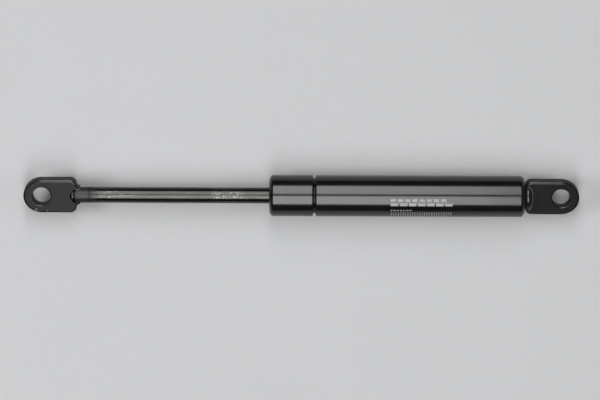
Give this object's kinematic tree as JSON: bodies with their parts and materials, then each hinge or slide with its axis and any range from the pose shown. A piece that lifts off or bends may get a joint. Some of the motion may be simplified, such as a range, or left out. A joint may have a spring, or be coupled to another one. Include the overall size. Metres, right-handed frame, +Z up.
{
  "type": "gas strut stay",
  "caption": "Small black gas strut stay: a slim rod sliding in a gas-filled tube, with a flat eye at each end.",
  "frame": {"origin": "on the strut's axis, midway between the two eye holes with the strut fully extended", "axes": "+X along the axis from the rod's eye to the tube's eye, +Z up, at right angles to the eyes' flat faces and along the eye holes"},
  "size_m": [0.2098, 0.0156, 0.0156],
  "materials": {
    "tube_paint": "satin black paint",
    "eye_paint": "satin black paint over a stamped and tumbled surface",
    "rod_steel": "dark nitrided, polished bright in streaks by the seal",
    "plain_steel": "turned",
    "bearing_bronze": "plain",
    "piston_aluminium": "turned",
    "ring_plastic": "moulded",
    "seal_rubber": "matt"
  },
  "bodies": {
    "tube": {"pressure_tube": "tube_paint", "tube_eyelet": "eye_paint", "tube_end_plug": "plain_steel", "end_plug_o_ring": "seal_rubber", "rod_guide": "plain_steel", "guide_liner": "bearing_bronze", "wiper_ring": "ring_plastic", "guide_o_ring": "seal_rubber", "seal_backup_ring": "ring_plastic", "rod_lip_seal": "seal_rubber", "seal_support_washer": "plain_steel"},
    "ring": {"piston_ring": "ring_plastic"},
    "rod": {"piston_rod": "rod_steel", "rod_eyelet": "eye_paint", "extension_stop_ring": "ring_plastic", "piston_washer": "plain_steel", "piston_body": "piston_aluminium", "labyrinth_disc": "plain_steel", "piston_retaining_washer": "plain_steel"}
  },
  "joints": [
    {"name": "rod_slide", "type": "slide", "parent": "tube", "child": "ring", "axis": [1, 0, 0], "range_m": [0, 0.068], "stiffness_N_per_m": 441, "springref_m": -0.2268},
    {"name": "rod_swivel", "type": "hinge", "parent": "ring", "child": "rod", "pos_m": [0.00865, 0, 0], "axis": [1, 0, 0], "continuous": true}
  ]
}
